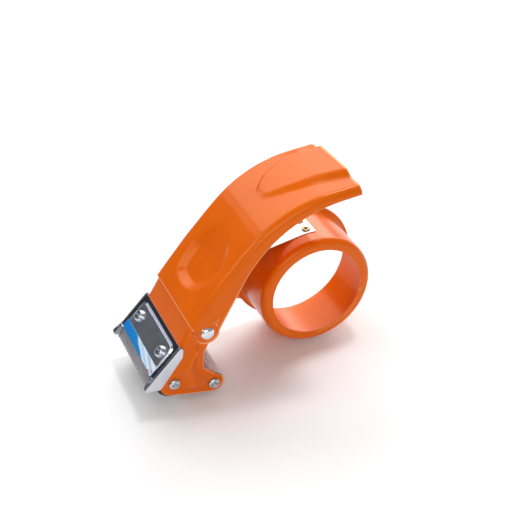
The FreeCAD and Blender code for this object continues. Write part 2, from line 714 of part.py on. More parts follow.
def make_cover():
    """A face over the blade with a deep ear on each side."""
    outer = new_body("cover_outer")
    height = cover_top()
    face_top, face_low = seat_point(-57.4, height), seat_point(FACE_LOW_X, height)
    outline = [face_top, (-56.0, 40.2), (-56.9, 36.4), EAR_LOW_CORNER, EAR_TIP, (-82.2, 21.2), face_low]
    drawing = new_sketch(outer, "XZ_Plane", "ear_side")
    draw_outline(drawing, outline)
    pad(outer, drawing, "cover_width", "2 * Sizes.cover_half")
    face_side = on_side(size("cover_half"), on_profile([face_low, face_top]))
    fillet(outer, "cover_bends", "2 * Sizes.cover_sheet", face_side)

    hollow = new_body("cover_hollow")
    under = height - size("cover_sheet")
    top_far = seat_point(-40.0, under)
    low_near = seat_point(FACE_LOW_X, under)
    over = seat_point(FACE_LOW_X, height + 8)
    drawing = new_sketch(hollow, "XZ_Plane", "cover_hollow_side")
    draw_outline(drawing, [top_far, low_near, over, (-95.0, over[1]), (-95.0, 0.0), (-40.0, 0.0)])
    pad(hollow, drawing, "cover_hollow_width", "2 * (Sizes.cover_half - Sizes.cover_sheet)")
    holes = [seat_cylinder(f"cover_hole_{side}", size("cover_screw_x"), side * size("cover_screw_y"),
                           -3, 6, "Sizes.screw_shank") for side in (-1, 1)]
    shell = cut("cover_shell", outer, hollow)
    return cut("blade_cover", shell, compound("cover_holes", holes))


def make_label():
    """A printed film along the cover's lower edge."""
    film = doc.addObject("Part::Box", "cover_label")
    film.Label = "cover_label"
    film.Length = 6.0
    film.setExpression("Width", "2 * Sizes.blade_half")
    film.setExpression("Height", "Sizes.label_sheet")
    corner = seat_point(FACE_LOW_X + 0.4, cover_top())
    turn = FreeCAD.Rotation(Y_AXIS, -size("seat_slope"))
    film.Placement = FreeCAD.Placement(V(corner[0], -size("blade_half"), corner[1]), turn)
    return film


# ---------------------------------------------------------------- the whole dispenser

ear_grip = size("handle_half") - size("head_half") + size("head_sheet")
back_grip = size("handle_half") - size("hub_back")
running_bore = "Sizes.axle_radius + Sizes.axle_running"

nodes = [
    make_handle(),
    make_head(),
    make_hub(),
    make_arm(),
    make_ear_rivet("front_ear_rivet", -1, ear_grip),
    make_ear_rivet("back_ear_rivet", 1, back_grip),
    make_leaf_root(),
    make_leaf_tongue(),
    make_leaf_rivets(),
    make_tube("press_roller_sleeve", "press_x", "press_z", "Sizes.press_radius",
              "Sizes.core_radius", "Sizes.sleeve_half"),
    make_tube("press_roller_core", "press_x", "press_z", "Sizes.core_radius",
              running_bore, "Sizes.roller_half"),
    make_axle("press_axle", "press_x", "press_z"),
    make_axle_screw("press_screw_front", "press_x", "press_z", -1),
    make_axle_screw("press_screw_back", "press_x", "press_z", 1),
    make_guide_roller(),
    make_axle("guide_axle", "guide_x", "guide_z"),
    make_axle_screw("guide_screw_front", "guide_x", "guide_z", -1),
    make_axle_screw("guide_screw_back", "guide_x", "guide_z", 1),
    make_blade(),
    make_cover(),
    make_label(),
    make_cover_screws(),
    make_cover_nuts(),
]
doc.recompute()

for item in doc.Objects:
    if "Invalid" in item.State or "Error" in item.State:
        raise RuntimeError(f"{item.Label} did not build: {item.State}")

for node in nodes:
    shape = node.Shape
    if shape.isNull() or not shape.isValid() or not shape.Solids:
        raise RuntimeError(f"{node.Label}: no valid solid")
    shape.exportStep(f"parts/{node.Label}.step")
    box = shape.BoundBox
    print(f"{node.Label:22s} solids {len(shape.Solids)}  volume {shape.Volume:9.1f}  "
          f"X {box.XMin:7.2f} {box.XMax:7.2f}  Y {box.YMin:7.2f} {box.YMax:7.2f}  "
          f"Z {box.ZMin:7.2f} {box.ZMax:7.2f}")
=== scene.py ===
import bpy
from math import cos, degrees, pi, radians, sin, tan
from mathutils import Matrix, Vector


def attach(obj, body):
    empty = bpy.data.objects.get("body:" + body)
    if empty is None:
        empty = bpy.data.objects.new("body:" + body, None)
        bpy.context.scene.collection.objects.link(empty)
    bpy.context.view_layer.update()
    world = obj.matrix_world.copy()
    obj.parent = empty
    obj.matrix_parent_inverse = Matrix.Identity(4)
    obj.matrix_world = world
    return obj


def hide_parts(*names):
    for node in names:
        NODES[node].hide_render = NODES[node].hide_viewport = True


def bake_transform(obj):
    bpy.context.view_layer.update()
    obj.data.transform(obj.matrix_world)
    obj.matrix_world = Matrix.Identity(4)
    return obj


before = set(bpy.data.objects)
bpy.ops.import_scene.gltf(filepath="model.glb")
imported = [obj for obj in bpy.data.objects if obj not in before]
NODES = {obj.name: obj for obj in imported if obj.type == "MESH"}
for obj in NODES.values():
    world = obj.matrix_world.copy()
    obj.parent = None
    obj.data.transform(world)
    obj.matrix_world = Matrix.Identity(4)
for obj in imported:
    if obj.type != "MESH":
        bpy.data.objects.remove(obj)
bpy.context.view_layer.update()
MM = 0.001


# ---------------------------------------------------------------- small helpers

def smooth(t):
    """0 before 0, 1 after 1, and an even slope between."""
    t = max(0.0, min(1.0, t))
    return t * t * (3 - 2 * t)


def between(table, s):
    """The value at s from a table of (s, value) in rising order."""
    if s <= table[0][0]:
        return table[0][1]
    for (s0, v0), (s1, v1) in zip(table, table[1:]):
        if s <= s1:
            return v0 + (v1 - v0) * (s - s0) / (s1 - s0)
    return table[-1][1]


def inside(point, outline):
    """How far inside a closed outline a point lies; below zero outside."""
    px, py = point
    nearest_squared, crossings = 1e9, 0
    for (ax, ay), (bx, by) in zip(outline, outline[1:] + outline[:1]):
        dx, dy = bx - ax, by - ay
        along = max(0.0, min(1.0, ((px - ax) * dx + (py - ay) * dy) / (dx * dx + dy * dy)))
        nearest_squared = min(nearest_squared, (px - ax - along * dx) ** 2 + (py - ay - along * dy) ** 2)
        if (ay > py) != (by > py) and px < ax + (py - ay) / (by - ay) * dx:
            crossings += 1
    return nearest_squared ** 0.5 * (1 if crossings % 2 else -1)


def spot_mask(along, across, middle, half, reach):
    """1 on a small rectangle about its middle, falling to 0 round it."""
    return (smooth(reach - abs(along - middle[0]) / half[0])
            * smooth(reach - abs(across - middle[1]) / half[1]))


def eased(outline, rounds=3):
    """A closed outline with its corners cut again and again until it runs smoothly."""
    for _ in range(rounds):
        eased_outline = []
        for (ax, ay), (bx, by) in zip(outline, outline[1:] + outline[:1]):
            eased_outline += [(0.75 * ax + 0.25 * bx, 0.75 * ay + 0.25 * by),
                              (0.25 * ax + 0.75 * bx, 0.25 * ay + 0.75 * by)]
        outline = eased_outline
    return outline


def rounded(corners):
    """A chain of corners (x, z) or (x, z, radius) as points, with the arcs stepped at 4 degrees."""
    points = []
    for number, corner in enumerate(corners):
        here = Vector(corner[:2])
        if len(corner) == 2:
            points.append(here)
            continue
        back = (Vector(corners[number - 1][:2]) - here).normalized()
        ahead = (Vector(corners[number + 1][:2]) - here).normalized()
        half = back.angle(ahead) / 2
        centre = here + (back + ahead).normalized() * (corner[2] / sin(half))
        first = here + back * (corner[2] / tan(half)) - centre
        turn = pi - 2 * half
        if back.cross(ahead) > 0:
            turn = -turn
        steps = max(2, int(abs(degrees(turn)) / 4))
        for step in range(steps + 1):
            angle = turn * step / steps
            points.append(centre + Vector((first.x * cos(angle) - first.y * sin(angle),
                                           first.x * sin(angle) + first.y * cos(angle))))
    return points


def arc(centre, radius, start, end, step=6):
    """Points on a circle from one angle to another, in degrees."""
    count = max(2, int(abs(end - start) / step))
    return [Vector((centre[0] + radius * cos(radians(start + (end - start) * n / count)),
                    centre[1] + radius * sin(radians(start + (end - start) * n / count))))
            for n in range(count + 1)]


def walk(points, fractions):
    """The places at these fractions of a line's length."""
    lengths = [0.0]
    for a, b in zip(points, points[1:]):
        lengths.append(lengths[-1] + (b - a).length)
    places, leg = [], 0
    for fraction in fractions:
        reach = fraction * lengths[-1]
        while leg < len(points) - 2 and lengths[leg + 1] < reach:
            leg += 1
        while leg > 0 and lengths[leg] > reach:
            leg -= 1
        a, b = points[leg], points[leg + 1]
        places.append(a + (b - a) * ((reach - lengths[leg]) / (b - a).length))
    return places


def evenly(count):
    """The shares 0 to 1 in this many equal steps."""
    return [n / count for n in range(count + 1)]


def only(obj):
    """Selects one object and nothing else."""
    bpy.ops.object.select_all(action="DESELECT")
    bpy.context.view_layer.objects.active = obj
    obj.select_set(True)


def add_modifier(obj, kind, **values):
    """Adds a modifier with these values and applies it."""
    only(obj)
    modifier = obj.modifiers.new(kind.lower(), kind)
    for name, value in values.items():
        setattr(modifier, name, value)
    bpy.ops.object.modifier_apply(modifier=modifier.name)


def face_outwards(obj):
    """Turns every face of a piece to the same side as its neighbours."""
    only(obj)
    bpy.ops.object.mode_set(mode="EDIT")
    bpy.ops.mesh.select_all(action="SELECT")
    bpy.ops.mesh.normals_make_consistent(inside=False)
    bpy.ops.object.mode_set(mode="OBJECT")


def soften(obj):
    """Smooth shading that keeps the edges sharper than 35 degrees."""
    only(obj)
    bpy.ops.object.shade_smooth_by_angle(angle=radians(35))


def new_grid(rows, strips):
    """A flat grid of rows by strips, from -1 to 1 both ways."""
    bpy.ops.object.select_all(action="DESELECT")
    bpy.ops.mesh.primitive_grid_add(x_subdivisions=rows, y_subdivisions=strips, size=2, location=(0, 0, 0))
    return bpy.context.object


def dress(obj, name, body, material):
    """Names a finished piece, gives it its material and, if it has one body, lets it ride on that."""
    obj.name = obj.data.name = name
    obj.data.materials.clear()
    obj.data.materials.append(material)
    if body:
        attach(obj, body)


# ---------------------------------------------------------------- pressed sheet

LEAST_LEAN = 0.35        # the smallest cosine between a side and the top's normal that a bend allows for
BEND_SHARE = 0.9         # a bend takes at most this share of the side's depth
CUT_EDGE_ANGLE = 60      # edges of the sheet sharper than this are rounded


def channel_stations(top, low):
    """For each row: the way into the sheet, the way down the side, its depth, and how it leans."""
    last = len(top) - 1
    stations = []
    for row in range(last + 1):
        ahead = top[min(row + 1, last)] - top[max(row - 1, 0)]
        inward = Vector((ahead.y, -ahead.x)).normalized()
        if inward.dot(low[row] - top[row]) < 0:
            inward = -inward
        down = (low[row] - top[row]).normalized()
        depth = (low[row] - top[row]).length
        stations.append((inward, down, depth, max(LEAST_LEAN, down.dot(inward))))
    return stations


def pressed_channel(top, low, half, sheet, bend, strips, top_relief=None, side_relief=None, skew=None,
                    edge=0.25):
    """A sheet bent into a channel: a top, two bends and two flat sides. Sizes in millimetres.
    top and low are the (x, z) stations of the top line and of the sides' lower edge.
    strips is how many strips the top, each bend and each side get."""
    rows = len(top) - 1
    on_top, in_bend, in_side = strips
    count = on_top + 2 * in_bend + 2 * in_side
    obj = new_grid(rows, count)
    reach = [0.0]
    for a, b in zip(top, top[1:]):
        reach.append(reach[-1] + (b - a).length)
    stations = channel_stations(top, low)
    for vertex in obj.data.vertices:
        row = round((vertex.co.x + 1) / 2 * rows)
        strip = round((vertex.co.y + 1) / 2 * count)
        inward, down, depth, lean = stations[row]
        place, s = top[row], reach[row]
        side = 1 if strip > count / 2 else -1
        from_edge = count - strip if side > 0 else strip
        radius = min(bend / lean, BEND_SHARE * depth)
        if from_edge >= in_side + in_bend:
            y = (half - bend) * (2 * (strip - in_side - in_bend) / on_top - 1)
            lift = top_relief(s, y) if top_relief else 0.0
            spot = place - inward * lift
        elif from_edge >= in_side:
            angle = (in_side + in_bend - from_edge) / in_bend * pi / 2
            y = side * (half - bend + bend * sin(angle))
            spot = place + down * radius * (1 - cos(angle))
        else:
            share = (in_side - from_edge) / in_side
            spot = place + down * (radius + (depth - radius) * share)
            lift = side_relief(spot.x, spot.y, side) if side_relief else 0.0
            y = side * (half + lift)
        x = spot.x + (skew(s, y) if skew else 0.0)
        vertex.co = (x * MM, y * MM, spot.y * MM)
    face_outwards(obj)
    highest = max(obj.data.polygons, key=lambda face: face.center.z - abs(face.center.y))
    if highest.normal.z < 0:
        bpy.ops.object.mode_set(mode="EDIT")
        bpy.ops.mesh.flip_normals()
        bpy.ops.object.mode_set(mode="OBJECT")
    add_modifier(obj, "SOLIDIFY", thickness=sheet * MM, offset=-1)
    add_modifier(obj, "BEVEL", width=edge * MM, segments=2, limit_method="ANGLE",
                 angle_limit=radians(CUT_EDGE_ANGLE))
    soften(obj)
    return obj


# ---------------------------------------------------------------- handle

# Sizes here and below are in millimetres. s runs along a top line from its front end.
HANDLE_HALF, HANDLE_SHEET, HANDLE_BEND, HANDLE_EDGE = 30.6, 1.2, 4.4, 0.45
HANDLE_TOP = rounded([(-50.9, 56.5), (-31.8, 79.7, 400.0), (10.4, 121.2, 80.0), (57.6, 124.1)])
EAR_RIVET, EAR_RADIUS = (-40.5, 48.9), 7.6
EAR_EDGE = arc(EAR_RIVET, EAR_RADIUS, 170, 359)
SKIRT_EDGE = rounded([(-32.9, 48.8), (4.4, 114.3, 80.0), (58.0, 118.4)])
HANDLE_ROWS, HANDLE_STRIPS = 150, (66, 8, 16)
EAR_SHARE = 0.11         # share of the handle's rows that end on the ear

# The thumb rest: its outline as (s, y), its depth, and the width of its wall on both sides.
THUMB_EDGE = eased([(50.0, 12.8), (38.8, 19.3), (24.3, 20.6), (12.2, 17.6), (9.2, 8.0), (9.6, -4.4),
                    (15.0, -15.2), (27.3, -21.4), (38.6, -20.6), (48.5, -15.0), (57.0, -6.0),
                    (59.0, 4.0)])
THUMB_DEPTH, THUMB_END = 3.1, 60
THUMB_FADE_FROM, THUMB_FADE_RUN = 30, 27
THUMB_WALL_FAR = [(12, 9.0), (24, 9.0), (36, 6.5), (48, 4.0)]
THUMB_WALL_NEAR = [(12, 9.0), (24, 7.5), (36, 4.5), (48, 4.0)]

# The tail panel: its two edges as (s, y), a step at its front and a climb to the tail.
PANEL_FAR = [(81.0, 4.5), (83.2, 7.7), (92.8, 15.4), (105.8, 20.0), (120.0, 20.5), (133.0, 20.0)]
PANEL_NEAR = [(81.0, 3.0), (82.6, 0.5), (93.6, -4.6), (104.8, -8.3), (117.4, -9.6), (133.0, -13.0)]
PANEL_START, PANEL_END = 80, 132.6
PANEL_STEP, PANEL_STEP_FROM, PANEL_STEP_RUN = 0.9, 80.5, 7
PANEL_CLIMB, PANEL_CLIMB_FROM = 2.7, 84
PANEL_FAR_WALL, PANEL_NEAR_WALL, PANEL_NEAR_FOOT = 2.4, 7, 6.5
GROOVE_MIDDLE, GROOVE_HALF, GROOVE_DEPTH, GROOVE_FROM, GROOVE_RUN = 23.2, 3.0, 1.3, 100, 32

# The tail's end isn't quite square to its sides.
TAIL_SKEW, TAIL_SKEW_FROM, TAIL_SKEW_RUN = 0.055, 104, 28

# The lanced stop over the ear: a tab that stands out beside a slot that sinks in.
LANCE, LANCE_WAY = (-35.6, 55.5), (0.55, 0.835)
LANCE_RISE, LANCE_SINK = 1.0, 1.3


def handle_relief(s, y):
    """Height of the pressings over the handle's top: the thumb rest, the tail panel and its groove."""
    height = 0.0
    if s < THUMB_END:
        wall = between(THUMB_WALL_FAR if y > 0 else THUMB_WALL_NEAR, s)
        fade = 1 - smooth((s - THUMB_FADE_FROM) / THUMB_FADE_RUN)
        height -= THUMB_DEPTH * fade * smooth(inside((s, y), THUMB_EDGE) / wall)
    if s > PANEL_START:
        climb = max(0.0, s - PANEL_CLIMB_FROM) / (PANEL_END - PANEL_CLIMB_FROM)
        rise = PANEL_STEP * smooth((s - PANEL_STEP_FROM) / PANEL_STEP_RUN) + PANEL_CLIMB * climb
        far, near = between(PANEL_FAR, s), between(PANEL_NEAR, s)
        height += (rise * smooth((far - y) / PANEL_FAR_WALL)
                   * smooth((y - near + PANEL_NEAR_FOOT) / PANEL_NEAR_WALL))
        groove = max(0.0, 1 - abs(y - GROOVE_MIDDLE) / GROOVE_HALF)
        height -= GROOVE_DEPTH * smooth(groove) * smooth((s - GROOVE_FROM) / GROOVE_RUN)
    return height


def skirt_relief(x, z, side):
    """How far the lanced stop stands out of the near skirt."""
    if side > 0:
        return 0.0
    along = (x - LANCE[0]) * LANCE_WAY[0] + (z - LANCE[1]) * LANCE_WAY[1]
    across = (x - LANCE[0]) * LANCE_WAY[1] - (z - LANCE[1]) * LANCE_WAY[0]
    tab = spot_mask(along, across, (0.0, -0.9), (2.0, 1.4), 1.5)
    slot = spot_mask(along, across, (0.4, 1.3), (1.8, 1.0), 1.4)
    return LANCE_RISE * tab - LANCE_SINK * slot


def tail_skew(s, y):
    return -TAIL_SKEW * y * smooth((s - TAIL_SKEW_FROM) / TAIL_SKEW_RUN)


def make_handle(enamel):
    """The handle: its sides run round the ear first and then up along the skirt's edge."""
    top = walk(HANDLE_TOP, evenly(HANDLE_ROWS))
    ear_rows = round(EAR_SHARE * HANDLE_ROWS)
    ear = walk(EAR_EDGE, evenly(ear_rows))
    skirt = walk(SKIRT_EDGE, evenly(HANDLE_ROWS - ear_rows)[1:])
    shell = pressed_channel(top, ear + skirt, HANDLE_HALF, HANDLE_SHEET, HANDLE_BEND, HANDLE_STRIPS,
                            handle_relief, skirt_relief, tail_skew, HANDLE_EDGE)
    dress(shell, "handle", "frame", enamel)
    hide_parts("handle_shell")


# ---------------------------------------------------------------- head frame

HEAD_HALF, HEAD_SHEET, HEAD_BEND = 29.3, 1.2, 2.6
HEAD_TOP = rounded([(-75.0, 25.1), (-57.9, 42.2, 7.8), (-49.4, 55.6, 7.8), (-42.0, 63.3)])
PRESS, PRESS_LOBE = (-63.0, 17.2), 9.1
GUIDE, GUIDE_LOBE = (-37.9, 8.9), 6.8
CHEEK_FRONT = [Vector((-72.0, 18.5))] + arc(PRESS, PRESS_LOBE, 188, 253)
CHEEK_FOOT = [CHEEK_FRONT[-1]] + arc(GUIDE, GUIDE_LOBE, 257, 400)
CHEEK_BACK = [CHEEK_FOOT[-1]] + rounded([(-32.7, 13.3), (-43.7, 20.2, 7.8), (-43.7, 33.0, 13.0),
                                         (-34.6, 50.0), (-42.0, 62.6)])
HEAD_ROWS, HEAD_STRIPS = (22, 34, 64), (30, 6, 44)
HEAD_MARKS = (0.0, 0.12, 0.34, 1.0)      # shares of the top line where the cheek's stretches meet
BOSS_EDGE = eased([(-47.0, 42.6), (-42.6, 37.4), (-46.6, 31.5), (-47.8, 24.5), (-45.0, 19.0),
                   (-40.0, 13.4), (-41.8, 8.4), (-46.7, 6.6), (-57.6, 9.4), (-57.2, 16.0),
                   (-57.6, 21.4), (-62.0, 24.2), (-55.4, 34.7), (-50.6, 41.8)], 2)
BOSS_RISE, BOSS_WALL = 2.9, 5.4


def cheek_relief(x, z, side):
    """The stiffening boss between the rivet and the two roller screws, the same on both cheeks."""
    return BOSS_RISE * smooth(inside((x, z), BOSS_EDGE) / BOSS_WALL)


def make_head(enamel):
    """The head: a sloping top plate, and cheeks whose edge is walked in three stretches."""
    shares, low = [0.0], []
    for rows, line, start, end in zip(HEAD_ROWS, (CHEEK_FRONT, CHEEK_FOOT, CHEEK_BACK),
                                      HEAD_MARKS, HEAD_MARKS[1:]):
        places = walk(line, evenly(rows)[1 if low else 0:])
        low += places
        shares += [start + (end - start) * n / rows for n in range(1, rows + 1)]
    top = walk(HEAD_TOP, shares)
    shell = pressed_channel(top, low, HEAD_HALF, HEAD_SHEET, HEAD_BEND, HEAD_STRIPS,
                            side_relief=cheek_relief)
    dress(shell, "head_channel", "frame", enamel)
    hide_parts("head_frame")


# ---------------------------------------------------------------- blade cover

COVER_HALF, COVER_SHEET, COVER_BEND, COVER_EDGE = 30.7, 0.9, 1.6, 0.2
SLOPE = radians(45)
SEAT_LIFT = 100.1        # the blade seat's line: z = x + this
COVER_BACK, COVER_FRONT, COVER_HEIGHT = -56.9, -75.7, 1.63


def off_seat(x, height):
    """A place over the blade seat, from where it stands on the seat and its height off it."""
    return (x - height * sin(SLOPE), x + SEAT_LIFT + height * cos(SLOPE))


COVER_TOP = rounded([off_seat(COVER_BACK, 0.1), (*off_seat(COVER_BACK, COVER_HEIGHT), 0.9),
                     off_seat(COVER_FRONT, COVER_HEIGHT)])
COVER_LOW = rounded([(-56.2, 41.4), (-56.9, 36.4), (-72.2, 16.2, 3.0), (-81.6, 17.4, 1.8),
                     (-82.2, 21.2)])
COVER_ROWS, COVER_STRIPS = 52, (74, 6, 14)
FIELD_INSET, FIELD_HALF, FIELD_CORNER, FIELD_WALL, FIELD_RISE = 2.6, 26.9, 5.0, 2.2, 0.8


def cover_relief(s, y):
    """The rim sinks round a flat field with round corners."""
    from_top = s - COVER_BEND - FIELD_INSET
    from_side = FIELD_HALF - abs(y)
    if from_top < FIELD_CORNER and from_side < FIELD_CORNER:
        depth = FIELD_CORNER - ((FIELD_CORNER - from_top) ** 2 + (FIELD_CORNER - from_side) ** 2) ** 0.5
    else:
        depth = min(from_top, from_side)
    return FIELD_RISE * (smooth(depth / FIELD_WALL) - 1)


def make_cover(chrome):
    """The blade cover, with a deep ear down each side."""
    top = walk(COVER_TOP, evenly(COVER_ROWS))
    low = walk(COVER_LOW, evenly(COVER_ROWS))
    shell = pressed_channel(top, low, COVER_HALF, COVER_SHEET, COVER_BEND, COVER_STRIPS, cover_relief,
                            edge=COVER_EDGE)
    dress(shell, "cover_plate", "frame", chrome)
    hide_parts("blade_cover")


# ---------------------------------------------------------------- brake leaf

LEAF_SHEET, LEAF_NEAR, LEAF_FAR = 0.6, -1.0, 17.0
LEAF_CLEAR = 0.04        # the strip stands this far off the hub's wall
HUB, HUB_OUTER = (40.6, 41.5), 37.8
LEAVE_ANGLE, ROOT_ANGLE = 9.4, 15.2      # where the strip leaves the hub, and how far it lies on it
ROOT_STEPS, TONGUE_STEPS, LEAF_STRIPS = 12, 20, 12
TONGUE = 38.0
EYELET_ANGLE, EYELETS, EYELET_RADIUS = 1.4, (3.0, 13.0), 1.7


def hub_spot(angle, height):
    """A place over the hub, from the degrees off its top towards the blade and the height off its wall."""
    reach = HUB_OUTER + height
    return Vector((HUB[0] - reach * sin(radians(angle)), HUB[1] + reach * cos(radians(angle))))


def punch_eyelet(strip, y):
    """Cuts one eyelet's hole through the strip."""
    spot = hub_spot(EYELET_ANGLE, 0)
    bpy.ops.object.select_all(action="DESELECT")
    bpy.ops.mesh.primitive_cylinder_add(radius=EYELET_RADIUS * MM, depth=6 * MM, vertices=32,
                                        location=(spot.x * MM, y * MM, spot.y * MM))
    punch = bpy.context.object
    add_modifier(strip, "BOOLEAN", operation="DIFFERENCE", object=punch, solver="EXACT")
    bpy.data.objects.remove(punch)


def make_leaf(steel):
    """One spring strip: curved to the hub under its eyelets, straight beyond."""
    root = [hub_spot(LEAVE_ANGLE - ROOT_ANGLE * (1 - n / ROOT_STEPS), LEAF_CLEAR)
            for n in range(ROOT_STEPS + 1)]
    bend = root[-1]
    forward = Vector((-cos(radians(LEAVE_ANGLE)), -sin(radians(LEAVE_ANGLE))))
    line = root + [bend + forward * (TONGUE * n / TONGUE_STEPS) for n in range(1, TONGUE_STEPS + 1)]
    rows = len(line) - 1
    strip = new_grid(rows, LEAF_STRIPS)
    for vertex in strip.data.vertices:
        spot = line[round((vertex.co.x + 1) / 2 * rows)]
        y = LEAF_NEAR + (LEAF_FAR - LEAF_NEAR) * (vertex.co.y + 1) / 2
        vertex.co = (spot.x * MM, y * MM, spot.y * MM)
    away_from_hub = -1 if strip.data.polygons[0].normal.z < 0 else 1
    add_modifier(strip, "SOLIDIFY", thickness=LEAF_SHEET * MM, offset=away_from_hub)
    for y in EYELETS:
        punch_eyelet(strip, y)
    face_outwards(strip)
    soften(strip)
    dress(strip, "leaf_strip", None, steel)
    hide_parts("brake_leaf_root", "brake_leaf")
    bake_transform(strip)


# ---------------------------------------------------------------- finishes

def new_material(name):
    """An empty material: itself, its tree and its shader."""
    material = bpy.data.materials.new(name)
    material.use_nodes = True
    tree = material.node_tree
    return material, tree, tree.nodes["Principled BSDF"]


def object_axes(tree):
    """The object's own X, Y and Z, in metres, as sockets."""
    coords = tree.nodes.new("ShaderNodeTexCoord")
    split = tree.nodes.new("ShaderNodeSeparateXYZ")
    tree.links.new(coords.outputs["Object"], split.inputs["Vector"])
    return [split.outputs[axis] for axis in "XYZ"]


def object_pattern(tree, kind, settings, stretch=(1, 1, 1)):
    """A texture of some kind fixed to the object; gives its outputs."""
    coords = tree.nodes.new("ShaderNodeTexCoord")
    mapping = tree.nodes.new("ShaderNodeMapping")
    mapping.inputs["Scale"].default_value = stretch
    pattern = tree.nodes.new(kind)
    for name, value in settings.items():
        pattern.inputs[name].default_value = value
    tree.links.new(coords.outputs["Object"], mapping.inputs["Vector"])
    tree.links.new(mapping.outputs["Vector"], pattern.inputs["Vector"])
    return pattern.outputs


def object_noise(tree, scale, detail, stretch=(1, 1, 1)):
    """Noise fixed to the object, as a factor."""
    return object_pattern(tree, "ShaderNodeTexNoise", {"Scale": scale, "Detail": detail}, stretch)["Fac"]


def node_math(tree, kind, first, second):
    """The result of one sum on sockets or plain numbers."""
    node = tree.nodes.new("ShaderNodeMath")
    node.operation = kind
    for place, value in enumerate((first, second)):
        if isinstance(value, (int, float)):
            node.inputs[place].default_value = value
        else:
            tree.links.new(value, node.inputs[place])
    return node.outputs["Value"]


def ramp(tree, factor, stops):
    """A colour ramp from (position, colour) stops."""
    node = tree.nodes.new("ShaderNodeValToRGB")
    band = node.color_ramp
    while len(band.elements) < len(stops):
        band.elements.new(0.5)
    for element, (position, colour) in zip(band.elements, stops):
        element.position = position
        element.color = (*colour, 1)
    tree.links.new(factor, node.inputs["Fac"])
    return node.outputs["Color"]


def mix_in(tree, factor, below, colour):
    """A plain colour laid over a socket's colour where the factor is 1."""
    mix = tree.nodes.new("ShaderNodeMix")
    mix.data_type = "RGBA"
    tree.links.new(factor, mix.inputs["Factor"])
    tree.links.new(below, mix.inputs["A"])
    mix.inputs["B"].default_value = (*colour, 1)
    return mix.outputs["Result"]


def roughen(tree, shader, factor, low, high):
    """Lets the gloss drift between two roughnesses."""
    spread = tree.nodes.new("ShaderNodeMapRange")
    spread.inputs["To Min"].default_value = low
    spread.inputs["To Max"].default_value = high
    tree.links.new(factor, spread.inputs["Value"])
    tree.links.new(spread.outputs["Result"], shader.inputs["Roughness"])


def ripple(tree, shader, factor, strength):
    """Fine unevenness of the surface, a fifth of a millimetre at most."""
    bump = tree.nodes.new("ShaderNodeBump")
    bump.inputs["Strength"].default_value = strength
    bump.inputs["Distance"].default_value = 0.0002
    tree.links.new(factor, bump.inputs["Height"])
    tree.links.new(bump.outputs["Normal"], shader.inputs["Normal"])


def drifting_colour(tree, dark, light, scale, stretch=(1, 1, 1)):
    """A colour that drifts between two values over the object, and the drift itself."""
    drift = object_noise(tree, scale, 4.0, stretch)
    return ramp(tree, drift, [(0.3, dark), (0.7, light)]), drift


def speckled(name, dark, light, scale, rough, metal=0.0, ripple_by=0.0, stretch=(1, 1, 1)):
    """A finish whose colour and gloss drift between two values over the object."""
    material, tree, shader = new_material(name)
    colour, drift = drifting_colour(tree, dark, light, scale, stretch)
    tree.links.new(colour, shader.inputs["Base Color"])
    roughen(tree, shader, drift, *rough)
    shader.inputs["Metallic"].default_value = metal
    if ripple_by:
        ripple(tree, shader, object_noise(tree, scale * 3, 2.0, stretch), ripple_by)
    return material


def overlay(material, colour, mask):
    """Lays a colour over a finish where mask(tree) gives 1."""
    tree = material.node_tree
    base = tree.nodes["Principled BSDF"].inputs["Base Color"]
    tree.links.new(mix_in(tree, mask(tree), base.links[0].from_socket, colour), base)


def painted_edge_highlight(tree):
    """1 on outer edges and bends, where a highlight is painted into the enamel."""
    shape = tree.nodes.new("ShaderNodeNewGeometry")
    return ramp(tree, shape.outputs["Pointiness"], [(0.52, (0, 0, 0)), (0.60, (1, 1, 1))])


def enamel_finish():
    """Stoved orange enamel: deep colour under a warm gloss, faint orange peel, and a painted highlight that
    makes the edges paler.
    """
    material = speckled("orange_enamel", (0.74, 0.118, 0.0), (0.79, 0.131, 0.0), 45, (0.22, 0.28),
                        ripple_by=0.05)
    shader = material.node_tree.nodes["Principled BSDF"]
    shader.inputs["IOR"].default_value = 1.42
    shader.inputs["Specular Tint"].default_value = (1.0, 0.72, 0.42, 1)
    # Painted highlight: the edges and bends are made paler, standing in for the light they catch.
    overlay(material, (0.90, 0.34, 0.14), painted_edge_highlight)
    return material


# Where the painted dark reflection in the cover's rim lies, in metres: beyond this far to either side or up
# the slope, and only on the face that stands this far off the seat.
RIM_SIDE, RIM_UP_SLOPE, RIM_OFF_SEAT = 0.0262, -0.0205, 0.1009


def painted_rim_reflection(tree):
    """1 in the sunk rim round the cover's field, where a dark reflection is painted on the chrome."""
    x, y, z = object_axes(tree)
    beside = node_math(tree, "GREATER_THAN", node_math(tree, "ABSOLUTE", y, 0.0), RIM_SIDE)
    above = node_math(tree, "GREATER_THAN", node_math(tree, "ADD", x, z), RIM_UP_SLOPE)
    on_face = node_math(tree, "GREATER_THAN", node_math(tree, "SUBTRACT", z, x), RIM_OFF_SEAT)
    return node_math(tree, "MULTIPLY", node_math(tree, "MAXIMUM", beside, above), on_face)


def chrome_finish():
    """Bright plating with a dark reflection painted into the bend round the cover's field."""
    material = speckled("cover_chrome", (0.60, 0.64, 0.73), (0.80, 0.83, 0.89), 80, (0.16, 0.26), metal=1.0,
                        ripple_by=0.22)
    # Painted reflection: a dark colour laid in the sunk rim, standing in for the dark studio seen in its
    # curved wall.
    overlay(material, (0.16, 0.17, 0.21), painted_rim_reflection)
    return material


